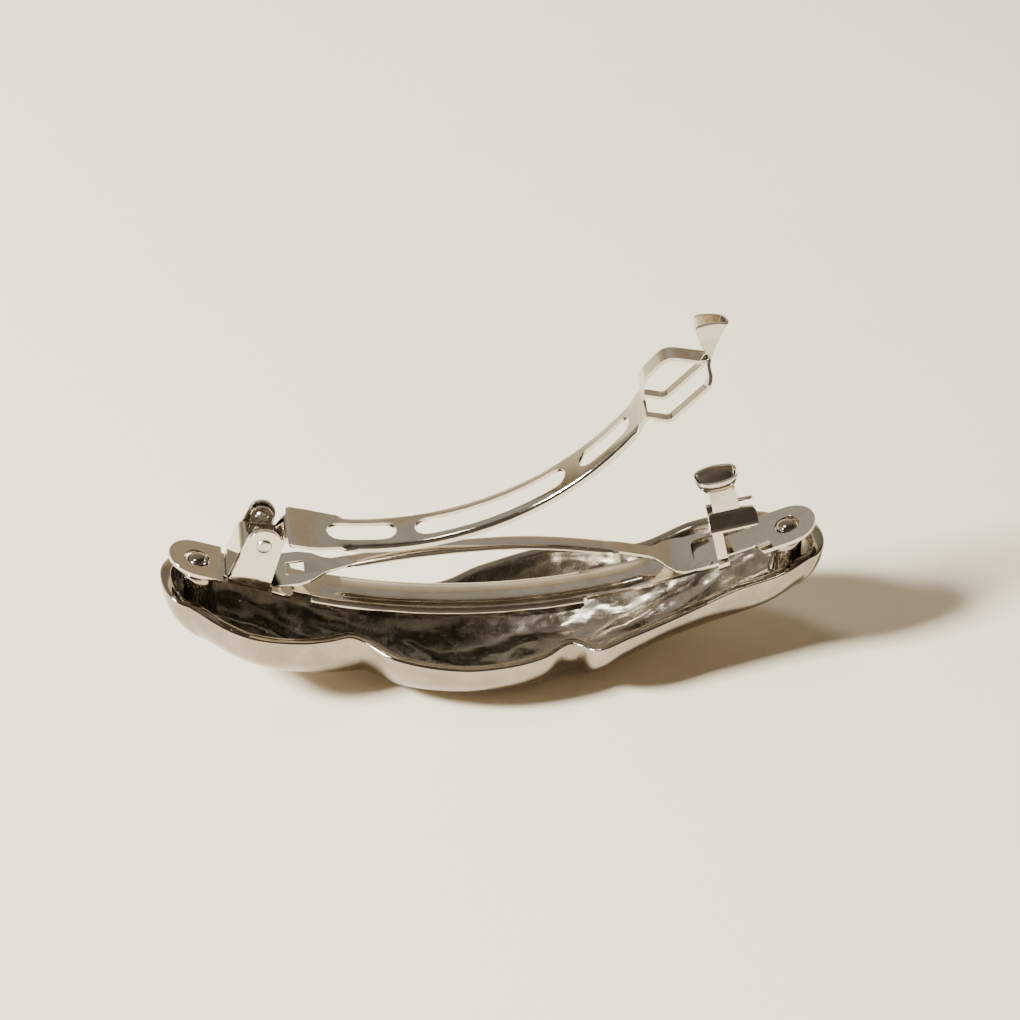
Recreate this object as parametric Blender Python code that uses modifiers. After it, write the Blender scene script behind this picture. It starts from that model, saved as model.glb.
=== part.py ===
"""French barrette lying on its face: a cast free-form shell carrying a stamped auto clasp, with the arm open.

World frame: +X runs from the hinge to the catch, +Z is up, and the shell rests on Z = 0.
Sheet parts are laid out flat in millimetres (s along, y across, t through the sheet), sliced along
their bend lines, and formed to shape in metres, the way the real pieces are blanked and folded.
"""

import math

import bmesh
import bpy
from mathutils import Matrix, Vector

MM = 0.001

# Base plate
BASE_LEVEL = 9.8  # height of the plate's mid-surface at its lowest point
BASE_RADIUS = 75.9
BASE_ARC_HALF = 26.5  # arc length from the middle to the straight ends
BASE_END_SLOPE = 20.0
BASE_HALF_LENGTH = 39.8
BASE_SHEET = 0.5
TAB_RADIUS = 3.4
TAB_HOLE_RADIUS = 1.55
TAB_HOLE_INSET = 3.5
BASE_WAIST = 1.8
BASE_HALF_WIDTH = 2.65
RIB_RISE = 0.45
FLANGE_CREASE = 2.3
FLANGE_BEND = 0.4
FLANGE_FROM = -22.3
FLANGE_TO = 10.5

# Hinge
EAR_STATION = -30.2
EAR_HALF_FOOT = 2.55
EAR_TOP_RADIUS = 2.2
FAR_EAR_TOP_RADIUS = 1.7
EAR_CREASE = 2.5
EAR_BEND = 0.85
PIN_HEIGHT = 6.4  # above the plate's mid-surface
PIN_RADIUS = 0.72
PIN_RUNNING_GAP = 0.08

# Arm
ARM_SHEET = 0.45
ARM_UNDER_PIN = 1.22  # the hinge plate passes below the rivets
HINGE_PLATE_SLOPE = -9.0
JOGGLE_RISE = 1.8  # the step from the hinge plate up to the thumb plate
ARM_SLOPE = -15.5
ARM_RADIUS = 37.6
ARM_SWEEP = 71.1
TAIL_CURL_RADIUS = 0.8
TAIL_CURL = 74.6
TAIL_LENGTH = 3.75
TAIL_HALF_WIDTH = 2.8
THUMB_HALF_WIDTH = 3.8
ARM_HALF_WIDTH = 3.0
ARM_CREASE = 2.4
ARM_BEND = 0.35
ARM_FLANGE_FROM = 11.5
ARM_FLANGE_TO = 48.6
LUG_CREASE = 2.15
LUG_BEND = 0.45
LUG_RADIUS = 1.35
LUG_HALF_FOOT = 1.15
RAIL_INNER = 1.75
BRIDGE_HALF = 1.15
CAGE_LENGTH = 9.25
CAGE_NECK_DROP = -1.4
CAGE_TILT = 47.0
PADDLE_LENGTH = 5.4
PADDLE_HALF_WIDTH = 3.85
PADDLE_CREASE = 0.25
PADDLE_BEND = 0.55
PADDLE_TURN = 82.0

# Tension spring
SPRING_SHEET = 0.3
SPRING_HALF_WIDTH = 0.95
SPADE_HALF_WIDTH = 3.2
FORK_HALF_WIDTH = 3.4

# Catch
CATCH_STATION = 29.2
CATCH_LEAN = 11.5
STRAP_FROM = -2.0  # the narrow straps that rise past the plate's edges
STRAP_TO = -0.75
STRAP_Y = 3.15
STRAP_TOP = 4.2
WING_FROM = -2.1  # the pads that are squeezed to open the catch
WING_TO = 3.7
WING_TOP = 5.9
LEG_FROM = -1.35
LEG_TO = 1.85
LEG_PIVOT_HEIGHT = 0.85
NECK_HEIGHT = 8.9
HEAD_HEIGHT = 10.8
HEAD_HALF_LENGTH = 2.55
HEAD_HALF_WIDTH = 1.75
CATCH_SHEET = 0.36

# Shell
SHELL_HALF_LENGTH = 39.6
SHELL_WALL = 1.5
SHELL_DEPTH = 7.5
SPINE_HALF_LENGTH = 33.0
REST_SINK = 0.35
POST_RADIUS = 1.9
PEG_RADIUS = 1.1


def clear_scene():
    for old in list(bpy.data.objects):
        bpy.data.objects.remove(old, do_unlink=True)


def collection(name):
    group = bpy.data.collections.new(name)
    bpy.context.scene.collection.children.link(group)
    return group


def metal(name, colour, roughness):
    material = bpy.data.materials.new(name)
    material.use_nodes = True
    shader = material.node_tree.nodes["Principled BSDF"]
    shader.inputs["Base Color"].default_value = (*colour, 1.0)
    shader.inputs["Metallic"].default_value = 1.0
    shader.inputs["Roughness"].default_value = roughness
    return material


# ---------------------------------------------------------------- centrelines


class Trace:
    """A centreline in the XZ plane, with mitred offsets so a sheet keeps its thickness round corners."""

    def __init__(self, points, first_station=0.0):
        self.points = [Vector(p) for p in points]
        self.stations = [first_station]
        for a, b in zip(self.points, self.points[1:]):
            self.stations.append(self.stations[-1] + (b - a).length)
        self.normals = []
        for i in range(len(self.points) - 1):
            run = (self.points[i + 1] - self.points[i]).normalized()
            self.normals.append(Vector((-run.y, run.x)))

    def offset(self, i):
        before = self.normals[max(i - 1, 0)]
        after = self.normals[min(i, len(self.normals) - 1)]
        return (before + after) / (1 + before.dot(after))

    def at(self, s, height=0.0):
        last = len(self.points) - 2
        i = 0
        while i < last and s > self.stations[i + 1]:
            i += 1
        share = (s - self.stations[i]) / (self.stations[i + 1] - self.stations[i])
        start = self.points[i] + self.offset(i) * height
        end = self.points[i + 1] + self.offset(i + 1) * height
        if share < 0:
            start, end = self.points[i] + self.normals[i] * height, self.points[i + 1] + self.normals[i] * height
        if share > 1:
            start, end = self.points[i] + self.normals[i] * height, self.points[i + 1] + self.normals[i] * height
        return start.lerp(end, share) if 0 <= share <= 1 else start + (end - start) * share

    def heading(self, s):
        a = self.at(s - 0.01)
        b = self.at(s + 0.01)
        return math.atan2(b.y - a.y, b.x - a.x)


def walk(x, z, heading, legs):
    """Points of a path of (length, turn, steps) legs, angles in degrees, starting at one end."""
    points = [Vector((x, z))]
    angle = math.radians(heading)
    for length, turn, steps in legs:
        bend = math.radians(turn) / steps
        chord = length / steps
        if abs(bend) > 1e-9:
            chord = chord * math.sin(bend / 2) / (bend / 2)
        for _ in range(steps):
            angle += bend / 2
            points.append(points[-1] + chord * Vector((math.cos(angle), math.sin(angle))))
            angle += bend / 2
    return points


def softened(points, radius, steps=3):
    """The same polyline with each corner replaced by a short curve."""
    points = [Vector(p) for p in points]
    out = [points[0]]
    for before, corner, after in zip(points, points[1:], points[2:]):
        reach = min(radius, 0.45 * (corner - before).length, 0.45 * (after - corner).length)
        a = corner + (before - corner).normalized() * reach
        b = corner + (after - corner).normalized() * reach
        for k in range(steps + 1):
            u = k / steps
            out.append(a * (1 - u) ** 2 + corner * 2 * u * (1 - u) + b * u ** 2)
    out.append(points[-1])
    return out


def arc(cx, cy, radius, start, end, steps):
    """Points of an arc, angles in degrees."""
    return [
        (
            cx + radius * math.cos(math.radians(start + (end - start) * k / steps)),
            cy + radius * math.sin(math.radians(start + (end - start) * k / steps)),
        )
        for k in range(steps + 1)
    ]


def slot(x0, x1, half_width, cy=0.0, steps=6):
    """A long hole with round ends."""
    left = arc(x0 + half_width, cy, half_width, 90, 270, steps)
    right = arc(x1 - half_width, cy, half_width, -90, 90, steps)
    return left + right


def both_sides(edge):
    """A closed outline from its far edge, listed left to right, mirrored about the centreline."""
    near = [(x, -y) for x, y in reversed(edge) if y > 1e-6]
    return list(edge) + near


def smooth(value):
    value = min(max(value, 0.0), 1.0)
    return value * value * (3 - 2 * value)


def fold(y, t, crease, radius, turn):
    """Cross-section of a strip bent along a line: flat inside the crease, turned up (or down) outside."""
    over = abs(y) - crease
    if over <= 0:
        return y, t
    way = math.copysign(1.0, turn)
    full = math.radians(abs(turn))
    bent = min(over / radius, full)
    past = max(over - radius * full, 0.0)
    inner = radius - t * way
    across = crease + inner * math.sin(bent) + past * math.cos(bent)
    rise = radius - inner * math.cos(bent) + past * math.sin(bent)
    return math.copysign(across, y), way * rise


def fold_cuts(crease, radius, steps=3):
    """Distances from the centreline where a right-angle fold is sliced."""
    cuts = [crease + radius * math.pi / 2 * k / steps for k in range(steps + 1)]
    return cuts + [-c for c in cuts]


# ------------------------------------------------------------------ sheet work


def blank(name, outlines, thickness):
    """A flat stamping: the first outline less the others, as a mesh in millimetres."""
    curve = bpy.data.curves.new(name + "_outline", "CURVE")
    curve.dimensions = "2D"
    curve.fill_mode = "BOTH"
    curve.extrude = thickness / 2
    for outline in outlines:
        spline = curve.splines.new("POLY")
        spline.points.add(len(outline) - 1)
        for point, (x, y) in zip(spline.points, outline):
            point.co = (x, y, 0.0, 1.0)
        spline.use_cyclic_u = True
    guide = bpy.data.objects.new(name + "_outline", curve)
    bpy.context.scene.collection.objects.link(guide)
    drawn = guide.evaluated_get(bpy.context.evaluated_depsgraph_get())
    mesh = bpy.data.meshes.new_from_object(drawn)
    bpy.data.objects.remove(guide)
    bm = bmesh.new()
    bm.from_mesh(mesh)
    bpy.data.meshes.remove(mesh)
    bmesh.ops.remove_doubles(bm, verts=bm.verts, dist=0.002)
    bmesh.ops.dissolve_limit(bm, angle_limit=0.01, verts=bm.verts, edges=bm.edges)
    return bm


def slice_across(bm, stations, y_from=None):
    """Cuts the blank at stations along its length, in its whole width or outside |y| = y_from."""
    for x in stations:
        cut(bm, Vector((x, 0, 0)), Vector((1, 0, 0)), lambda c: y_from is None or abs(c.y) > y_from)


def slice_along(bm, offsets, start=-1e9, end=1e9):
    """Cuts the blank along its length at these offsets from the centreline, between two stations."""
    for y in offsets:
        cut(bm, Vector((0, y, 0)), Vector((0, 1, 0)), lambda c: start <= c.x <= end)


def cut(bm, point, normal, wanted):
    faces = [f for f in bm.faces if wanted(f.calc_center_median())]
    edges = {e for f in faces for e in f.edges}
    verts = {v for f in faces for v in f.verts}
    bmesh.ops.bisect_plane(
        bm, geom=faces + list(edges) + list(verts), dist=0.004, plane_co=point, plane_no=normal
    )


def form(bm, shape):
    """Moves every point of a blank in millimetres to its formed place in metres."""
    bmesh.ops.remove_doubles(bm, verts=bm.verts, dist=0.004)
    bmesh.ops.triangulate(bm, faces=bm.faces)
    for vert in bm.verts:
        vert.co = Vector(shape(vert.co.x, vert.co.y, vert.co.z)) * MM
    bmesh.ops.recalc_face_normals(bm, faces=bm.faces)


def place(name, bm, group, material, origin=(0.0, 0.0, 0.0)):
    """One named object from a world-space mesh, with its origin where its joint or centre is."""
    mesh = bpy.data.meshes.new(name)
    bmesh.ops.translate(bm, verts=bm.verts, vec=-Vector(origin) * MM)
    bm.to_mesh(mesh)
    bm.free()
    mesh.materials.append(material)
    mesh.shade_smooth()
    mesh.set_sharp_from_angle(angle=math.radians(32))
    piece = bpy.data.objects.new(name, mesh)
    piece.location = Vector(origin) * MM
    group.objects.link(piece)
    return piece


# ------------------------------------------------------------------ base plate


def base_trace():
    steps = 20
    straight = BASE_HALF_LENGTH - BASE_ARC_HALF + 1.0
    half = walk(
        0, BASE_LEVEL, 0, [(BASE_ARC_HALF, BASE_END_SLOPE, steps // 2), (straight, 0, 1)]
    )
    left = [Vector((-p.x, p.y)) for p in reversed(half[1:])]
    trace = Trace(left + half)
    middle = trace.stations[len(left)]
    trace.stations = [s - middle for s in trace.stations]
    return trace


BASE = base_trace()


def on_base(s, y, height):
    point = BASE.at(s, height)
    return Vector((point.x, y, point.y))


def pin_centre():
    return on_base(EAR_STATION, 0.0, PIN_HEIGHT)


def pin_offset():
    """How far out in the flat blank the ear's pin hole lies."""
    return EAR_CREASE + EAR_BEND * math.pi / 2 + PIN_HEIGHT - EAR_BEND


def base_edge(ear_radius):
    """One edge of the blank, from the hinge end to the catch end."""
    ear_top = arc(EAR_STATION, pin_offset(), ear_radius, 172, 8, 10)
    ear_left = EAR_STATION - EAR_HALF_FOOT
    ear_right = EAR_STATION + EAR_HALF_FOOT
    fold_depth = FLANGE_CREASE + FLANGE_BEND * math.pi / 2 + 0.75
    left_tab = arc(-BASE_HALF_LENGTH + TAB_RADIUS, 0, TAB_RADIUS, 180, 90, 7)
    right_tab = arc(BASE_HALF_LENGTH - TAB_RADIUS, 0, TAB_RADIUS, 90, 0, 7)
    edge = left_tab
    edge += [(ear_left - 0.5, TAB_RADIUS), (ear_left - 0.5, 2.2), (ear_left, 2.2)]
    edge += ear_top
    edge += [(ear_right, 2.2), (ear_right + 0.4, 2.2), (ear_right + 0.4, 3.2)]
    edge += [(-25.0, 3.3), (-24.6, 2.9), (-24.6, 2.1), (FLANGE_FROM, 2.1)]
    edge += [(FLANGE_FROM, fold_depth), (FLANGE_TO - 0.5, fold_depth), (FLANGE_TO, fold_depth - 0.4)]
    edge += [(FLANGE_TO, 2.1), (FLANGE_TO + 0.4, 2.1), (FLANGE_TO + 0.4, BASE_HALF_WIDTH)]
    edge += [(27.5, BASE_HALF_WIDTH), (27.9, BASE_WAIST + 0.2), (28.3, BASE_WAIST), (31.9, BASE_WAIST)]
    edge += [(32.25, BASE_WAIST + 0.2), (32.4, TAB_RADIUS - 0.6), (32.6, TAB_RADIUS - 0.15), (33.0, TAB_RADIUS)]
    return edge + right_tab


def build_base(group, material):
    near = [(x, -y) for x, y in reversed(base_edge(EAR_TOP_RADIUS)) if y > 1e-6]
    outlines = [base_edge(FAR_EAR_TOP_RADIUS) + near]
    for side in (-1, 1):
        end = side * (BASE_HALF_LENGTH - TAB_HOLE_INSET)
        outlines.append(arc(end, 0, TAB_HOLE_RADIUS, 0, 342, 19))
        hole = arc(EAR_STATION, side * pin_offset(), PIN_RADIUS + PIN_RUNNING_GAP, 0, 337.5, 15)
        outlines.append(hole)
    bm = blank("base_plate", outlines, BASE_SHEET)
    arc_stations = [s for s in BASE.stations[1:-1]]
    slice_across(bm, arc_stations)
    slice_across(bm, [-20.2, -18.4, 17.8, 19.6], None)
    slice_along(bm, [-2.05, -1.05, 1.05, 2.05], -20.5, 20.5)
    slice_along(bm, fold_cuts(FLANGE_CREASE, FLANGE_BEND), FLANGE_FROM - 0.01, FLANGE_TO + 0.01)
    slice_along(bm, fold_cuts(EAR_CREASE, EAR_BEND, 4), EAR_STATION - 2.7, EAR_STATION + 2.7)

    def shape(s, y, t):
        if abs(s - EAR_STATION) <= EAR_HALF_FOOT + 0.05:
            y, t = fold(y, t, EAR_CREASE, EAR_BEND, 90)
        elif FLANGE_FROM - 0.02 <= s <= FLANGE_TO + 0.02:
            y, t = fold(y, t, FLANGE_CREASE, FLANGE_BEND, -90)
        ends = smooth((s + 20.2) / 1.8) * smooth((19.6 - s) / 1.8)
        if abs(y) < 2.05:
            t += RIB_RISE * ends * smooth((2.05 - abs(y)) / 1.0)
        return on_base(s, y, t)

    form(bm, shape)
    return place("base_plate", bm, group, material)


# ------------------------------------------------------------------------- arm


def arm_anchor():
    """The hinge plate's mid-surface straight below the rivets."""
    pin = pin_centre()
    slope = math.radians(HINGE_PLATE_SLOPE)
    return Vector((pin.x + ARM_UNDER_PIN * math.sin(slope), pin.z - ARM_UNDER_PIN * math.cos(slope)))


def arm_traces():
    """The arm's own centreline, and those of the two rails and of the bridge between them."""
    start = arm_anchor()
    joggle = 62.0
    step = JOGGLE_RISE / math.sin(math.radians(joggle))
    ahead = walk(
        start.x, start.y, HINGE_PLATE_SLOPE,
        [
            (1.38, 0, 1),
            (0.12, 0, 1),
            (0.6, joggle, 3),
            (step - 0.7, 0, 1),
            (0.6, ARM_SLOPE - HINGE_PLATE_SLOPE - joggle, 2),
            (0.7, 0, 1),
            (ARM_RADIUS * math.radians(ARM_SWEEP), ARM_SWEEP, 20),
        ],
    )
    behind = walk(
        start.x, start.y, HINGE_PLATE_SLOPE + 180,
        [(1.7, 0, 1), (0.05, 0, 1), (TAIL_CURL_RADIUS * math.radians(TAIL_CURL), TAIL_CURL, 4), (TAIL_LENGTH, 0, 1)],
    )
    split = ahead[-1]
    along = Vector((math.cos(math.radians(CAGE_TILT)), math.sin(math.radians(CAGE_TILT))))
    up = Vector((-along.y, along.x))

    def local(points):
        return [split + along * a + up * b for a, b in points]

    neck = (CAGE_LENGTH, CAGE_NECK_DROP)
    rails = softened(local([(0, 0), (1.2, -2.4), (7.6, -2.6), neck]), 0.7)
    bridge = softened(local([(0, 0), (2.0, 2.9), (6.6, 3.1), neck]), 1.2)
    middle = local([neck])[0]
    tip = walk(middle.x, middle.y, CAGE_TILT + 30, [(0.8, 0, 1), (PADDLE_LENGTH - 0.8, -16, 4)])
    main = Trace(list(reversed(behind[1:])) + ahead + tip[1:])
    zero = main.stations[len(behind) - 1]
    main.stations = [s - zero for s in main.stations]
    return main, Trace(rails), Trace(bridge), main.stations[len(behind) + len(ahead) - 2]


def build_arm(group, material):
    main, rails, bridge, split = arm_traces()
    neck = split + (Vector((CAGE_LENGTH, CAGE_NECK_DROP))).length
    tail_end = main.stations[0]
    lug_hole = LUG_CREASE + LUG_BEND * math.pi / 2 + ARM_UNDER_PIN - LUG_BEND
    fold_depth = ARM_CREASE + ARM_BEND * math.pi / 2 + 0.35
    thumb = 3.75
    relief = LUG_HALF_FOOT + 0.2
    edge = [(tail_end, TAIL_HALF_WIDTH - 0.4), (tail_end + 0.4, TAIL_HALF_WIDTH)]
    edge += [(-2.0, TAIL_HALF_WIDTH), (-relief - 0.1, 2.3), (-relief, 2.05), (-LUG_HALF_FOOT, 2.05)]
    edge += arc(0, lug_hole, LUG_RADIUS, 180, 0, 12)
    edge += [(LUG_HALF_FOOT, 2.05), (relief, 2.05), (relief + 0.1, 2.35), (thumb, 2.35)]
    edge += [(thumb, THUMB_HALF_WIDTH - 0.3), (thumb + 0.3, THUMB_HALF_WIDTH), (6.2, THUMB_HALF_WIDTH)]
    edge += [(8.0, 3.55), (9.0, 3.35), (10.0, 3.15)]
    edge += [(ARM_FLANGE_FROM + 0.7, fold_depth), (ARM_FLANGE_TO, fold_depth), (ARM_FLANGE_TO + 1.8, 2.85)]
    edge += [(split, 2.85), (split + 0.8, 2.95), (neck - 1.6, 2.95), (neck - 0.7, 2.75), (neck, 2.1), (neck + 0.6, 1.45)]
    edge += [(neck + 1.4, 1.9), (neck + 2.4, 2.8), (neck + 3.2, 3.5), (neck + 3.65, PADDLE_HALF_WIDTH)]
    edge += [(neck + PADDLE_LENGTH - 0.105 * y * y, y) for y in (3.75, 3.2, 2.4, 1.5, 0.7, 0.2)]
    outlines = [both_sides(edge)]
    outlines.append(slot(8.4, 16.8, 1.65))
    outlines.append(slot(18.9, 38.3, 1.65))
    outlines.append(slot(40.3, 48.6, 1.45))
    for side in (-1, 1):
        hole = arc(0, side * lug_hole, PIN_RADIUS + PIN_RUNNING_GAP, 0, 337.5, 15)
        outlines.append(hole)
        corners = [(split, BRIDGE_HALF), (neck, BRIDGE_HALF), (neck, BRIDGE_HALF + 0.2)]
        corners += [(neck - 0.9, RAIL_INNER), (split, RAIL_INNER)]
        outlines.append([(x, side * y) for x, y in corners])
    bm = blank("arm", outlines, ARM_SHEET)
    slice_across(bm, main.stations[1:-1])
    scale_rails = rails.stations[-1] / (neck - split)
    scale_bridge = bridge.stations[-1] / (neck - split)
    rail_stations = [split + s / scale_rails for s in rails.stations[1:-1]]
    bridge_stations = [split + s / scale_bridge for s in bridge.stations[1:-1]]
    for x in rail_stations:
        cut(bm, Vector((x, 0, 0)), Vector((1, 0, 0)), lambda c: split < c.x < neck and abs(c.y) > 1.4)
    for x in bridge_stations:
        cut(bm, Vector((x, 0, 0)), Vector((1, 0, 0)), lambda c: split < c.x < neck and abs(c.y) < 1.4)
    flange_start = ARM_FLANGE_FROM - 1.7
    flange_end = ARM_FLANGE_TO + 1.9
    slice_across(bm, [flange_start + 0.6 * k for k in range(5)] + [flange_end - 0.6 * k for k in range(5)])
    slice_along(bm, fold_cuts(ARM_CREASE, ARM_BEND, 2), flange_start, flange_end)
    paddle_cuts = [PADDLE_CREASE + PADDLE_BEND * math.radians(PADDLE_TURN) * k / 3 for k in range(4)]
    slice_along(bm, paddle_cuts + [-c for c in paddle_cuts], neck + 0.1, neck + PADDLE_LENGTH)
    slice_along(bm, fold_cuts(LUG_CREASE, LUG_BEND, 3), -LUG_RADIUS - 0.02, LUG_RADIUS + 0.02)

    def shape(s, y, t):
        if abs(s) <= LUG_RADIUS + 0.02:
            y, t = fold(y, t, LUG_CREASE, LUG_BEND, 90)
            point = main.at(s, t)
        elif split + 1e-4 < s < neck - 1e-4 and abs(y) > 1.4:
            near_neck = smooth((s - (neck - 1.8)) / 1.8)
            y = y * (1 - 0.12 * near_neck)
            point = rails.at((s - split) * scale_rails, t)
        elif split + 1e-4 < s < neck - 1e-4:
            point = bridge.at((s - split) * scale_bridge, t)
        else:
            if flange_start < s < flange_end:
                turn = 90 * smooth((s - flange_start) / 2.2) * smooth((flange_end - s) / 2.2)
                y, t = fold(y, t, ARM_CREASE, ARM_BEND, -turn)
            if s >= neck:
                y = y * (1 - 0.12 * (1 - smooth((s - neck) / 1.0)))
            if s > neck + 0.1:
                turn = PADDLE_TURN * smooth((s - neck - 0.1) / 1.6)
                y, t = fold(y, t, PADDLE_CREASE, PADDLE_BEND, turn)
            point = main.at(s, t)
        return Vector((point.x, y, point.y))

    form(bm, shape)
    return place("arm", bm, group, material, pin_centre())


# -------------------------------------------------------------- turned pieces


def turned(name, profile, steps, group, material=None):
    """A solid of revolution about Z from (radius, height) points running down the outer side, in mm."""
    mesh = bpy.data.meshes.new(name)
    mesh.from_pydata(
        [(r * MM, 0.0, z * MM) for r, z in profile],
        [(i, i + 1) for i in range(len(profile) - 1)],
        [],
    )
    piece = bpy.data.objects.new(name, mesh)
    group.objects.link(piece)
    if material:
        mesh.materials.append(material)
    screw = piece.modifiers.new("Turn", "SCREW")
    screw.axis = "Z"
    screw.angle = math.tau
    screw.steps = steps
    screw.render_steps = steps
    screw.use_merge_vertices = True
    screw.merge_threshold = 0.000001
    screw.use_smooth_shade = True
    return piece


def build_rivet(name, side, group, material):
    """One of the two short hinge rivets, peened outside the ear and inside the arm's lug."""
    outer = EAR_CREASE + EAR_BEND + BASE_SHEET / 2 + 0.06
    inner = LUG_CREASE + LUG_BEND - ARM_SHEET / 2 - 0.06
    head = PIN_RADIUS + 0.2
    profile = [(0, outer + 0.28), (head * 0.55, outer + 0.25), (head * 0.88, outer + 0.14), (head, outer)]
    peened = PIN_RADIUS + 0.07
    profile += [(PIN_RADIUS, outer), (PIN_RADIUS, inner), (peened, inner), (peened * 0.85, inner - 0.15)]
    profile += [(peened * 0.5, inner - 0.22), (0, inner - 0.24)]
    rivet = turned(name, profile, 20, group, material)
    rivet.location = pin_centre() * MM
    rivet.rotation_euler = (math.radians(-90 * side), 0, 0)
    return rivet


# -------------------------------------------------------------- tension spring


def spring_trace():
    """From the hook end beside the hinge, over the bow, down to the fork lying at the catch."""
    hook = on_base(-27.6, 0, 0.62)
    fork = on_base(26.7, 0, 0.62)
    rise = math.radians(4)
    crown = Vector((0.6, BASE_LEVEL + 8.0))
    left_knee = Vector((hook.x + 7.6 * math.cos(rise), hook.z + 7.6 * math.sin(rise)))
    right_knee = Vector((fork.x - 4.6, BASE_LEVEL + 4.45))
    control_left = Vector((-10.5, crown.y))
    control_right = Vector((9.5, crown.y))
    points = [Vector((hook.x, hook.z)), left_knee]
    for k in range(1, 9):
        u = k / 8
        points.append(left_knee * (1 - u) ** 2 + control_left * 2 * u * (1 - u) + crown * u ** 2)
    for k in range(1, 9):
        u = k / 8
        points.append(crown * (1 - u) ** 2 + control_right * 2 * u * (1 - u) + right_knee * u ** 2)
    points.append(Vector((right_knee.x + 1.6, right_knee.y - 0.02)))
    points.append(Vector((fork.x, fork.z)))
    return Trace(points)


def build_spring(group, material):
    trace = spring_trace()
    total = trace.stations[-1]
    neck = 7.4
    wide = total - 6.6
    notch = total - 2.2
    edge = [(0.0, SPADE_HALF_WIDTH - 0.9), (0.5, SPADE_HALF_WIDTH - 0.25), (1.2, SPADE_HALF_WIDTH)]
    edge += [(3.6, SPADE_HALF_WIDTH), (5.2, 2.6), (6.4, 1.6), (neck, 1.15)]
    edge += [(9.0, SPRING_HALF_WIDTH + 0.05), (12.0, SPRING_HALF_WIDTH + 0.35)]
    edge += [(wide - 7.4, SPRING_HALF_WIDTH + 0.35), (wide - 5.0, SPRING_HALF_WIDTH + 0.05)]
    edge += [(wide - 0.9, 1.05), (wide, 1.5), (wide + 0.9, 2.5), (wide + 1.9, 3.15), (wide + 2.8, FORK_HALF_WIDTH)]
    edge += [(total - 0.8, FORK_HALF_WIDTH), (total, FORK_HALF_WIDTH - 0.7), (total, 2.45)]
    edge += [(notch + 0.5, 2.2), (notch, 1.6), (notch - 0.05, 0.0)]
    outline = both_sides(edge)
    hole = [(2.0, -1.3), (4.2, -1.3), (4.2, 1.3), (2.0, 1.3)]
    bm = blank("tension_spring", [outline, hole], SPRING_SHEET)
    slice_across(bm, trace.stations[1:-1])
    crease = SPRING_HALF_WIDTH - 0.2
    first = 8.9
    last = wide - 4.8
    slice_across(bm, [first + 0.6 * k for k in range(5)] + [last - 0.6 * k for k in range(5)])
    slice_along(bm, fold_cuts(crease, 0.3, 2), first, last)

    def shape(s, y, t):
        if first < s < last:
            turn = 90 * smooth((s - first) / 2.2) * smooth((last - s) / 2.2)
            y, t = fold(y, t, crease, 0.3, -turn)
        point = trace.at(s, t)
        return Vector((point.x, y, point.y))

    form(bm, shape)
    return place("tension_spring", bm, group, material)


# ----------------------------------------------------------------------- catch


def catch_frame():
    """Placement of the catch: +X roughly along the plate's end, +Z up its legs."""
    foot = on_base(CATCH_STATION, 0, 0) * MM
    return Matrix.Translation(foot) @ Matrix.Rotation(-math.radians(CATCH_LEAN), 4, "Y")


def build_saddle(group, material):
    """The bottom of the folded spring: a strip under the plate with its two ends turned up."""
    sheet = 0.4
    bend = 0.5
    crease = STRAP_Y - bend
    end = crease + bend * math.pi / 2 + 0.55
    edge = [(STRAP_FROM - 0.1, 0.0), (STRAP_FROM - 0.1, end), (STRAP_TO + 0.1, end), (STRAP_TO + 0.1, 0.0)]
    bm = blank("catch_saddle", [both_sides(edge)], sheet)
    slice_along(bm, fold_cuts(crease, bend, 4))
    slope = math.radians(BASE_END_SLOPE - CATCH_LEAN)

    def shape(s, y, t):
        y, t = fold(y, t, crease, bend, 90)
        return Vector((s, y, t - 0.62 + s * math.tan(slope)))

    form(bm, shape)
    piece = place("catch_saddle", bm, group, material)
    piece.matrix_world = catch_frame()
    return piece


def leg_rows():
    """Section lines of one catch leg: height, start and end along, offset from the middle, bulge."""
    strap_in = STRAP_Y - 0.5
    rows = [(LEG_PIVOT_HEIGHT, STRAP_FROM, STRAP_TO, STRAP_Y, 0.0)]
    rows += [(2.6, STRAP_FROM, STRAP_TO, (STRAP_Y + strap_in) / 2, 0.0)]
    rows += [(STRAP_TOP, STRAP_FROM, STRAP_TO, strap_in, 0.0)]
    rows += [(STRAP_TOP + 0.1, WING_FROM + 0.05, WING_TO - 0.3, strap_in, 0.0)]
    rows += [(STRAP_TOP + 0.35, WING_FROM, WING_TO, strap_in - 0.05, 0.0)]
    rows += [(STRAP_TOP + 0.65, WING_FROM, WING_TO, strap_in - 0.32, 0.0)]
    rows += [(WING_TOP - 0.4, WING_FROM, WING_TO, 1.25, 0.0), (WING_TOP - 0.1, WING_FROM + 0.1, WING_TO - 0.3, 0.95, 0.0)]
    rows += [(WING_TOP + 0.1, LEG_FROM, LEG_TO, 0.84, 0.0)]
    rows += [(7.4, LEG_FROM + 0.03, LEG_TO - 0.03, 0.68, 0.0)]
    rows += [(NECK_HEIGHT - 0.3, LEG_FROM + 0.05, LEG_TO - 0.05, 0.62, 0.0)]
    middle = (LEG_FROM + LEG_TO) / 2 - 0.35
    steps = 5
    for k in range(steps + 1):
        u = k / steps
        flare = math.sin(u * math.pi / 2)
        half = (LEG_TO - LEG_FROM) / 2 - 0.05
        half += (HEAD_HALF_LENGTH - half) * flare
        height = NECK_HEIGHT + (HEAD_HEIGHT - NECK_HEIGHT) * u
        rows.append((height, middle - half, middle + half, 0.6 - 0.08 * u, (HEAD_HALF_WIDTH - 0.52) * flare))
    return rows


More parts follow.
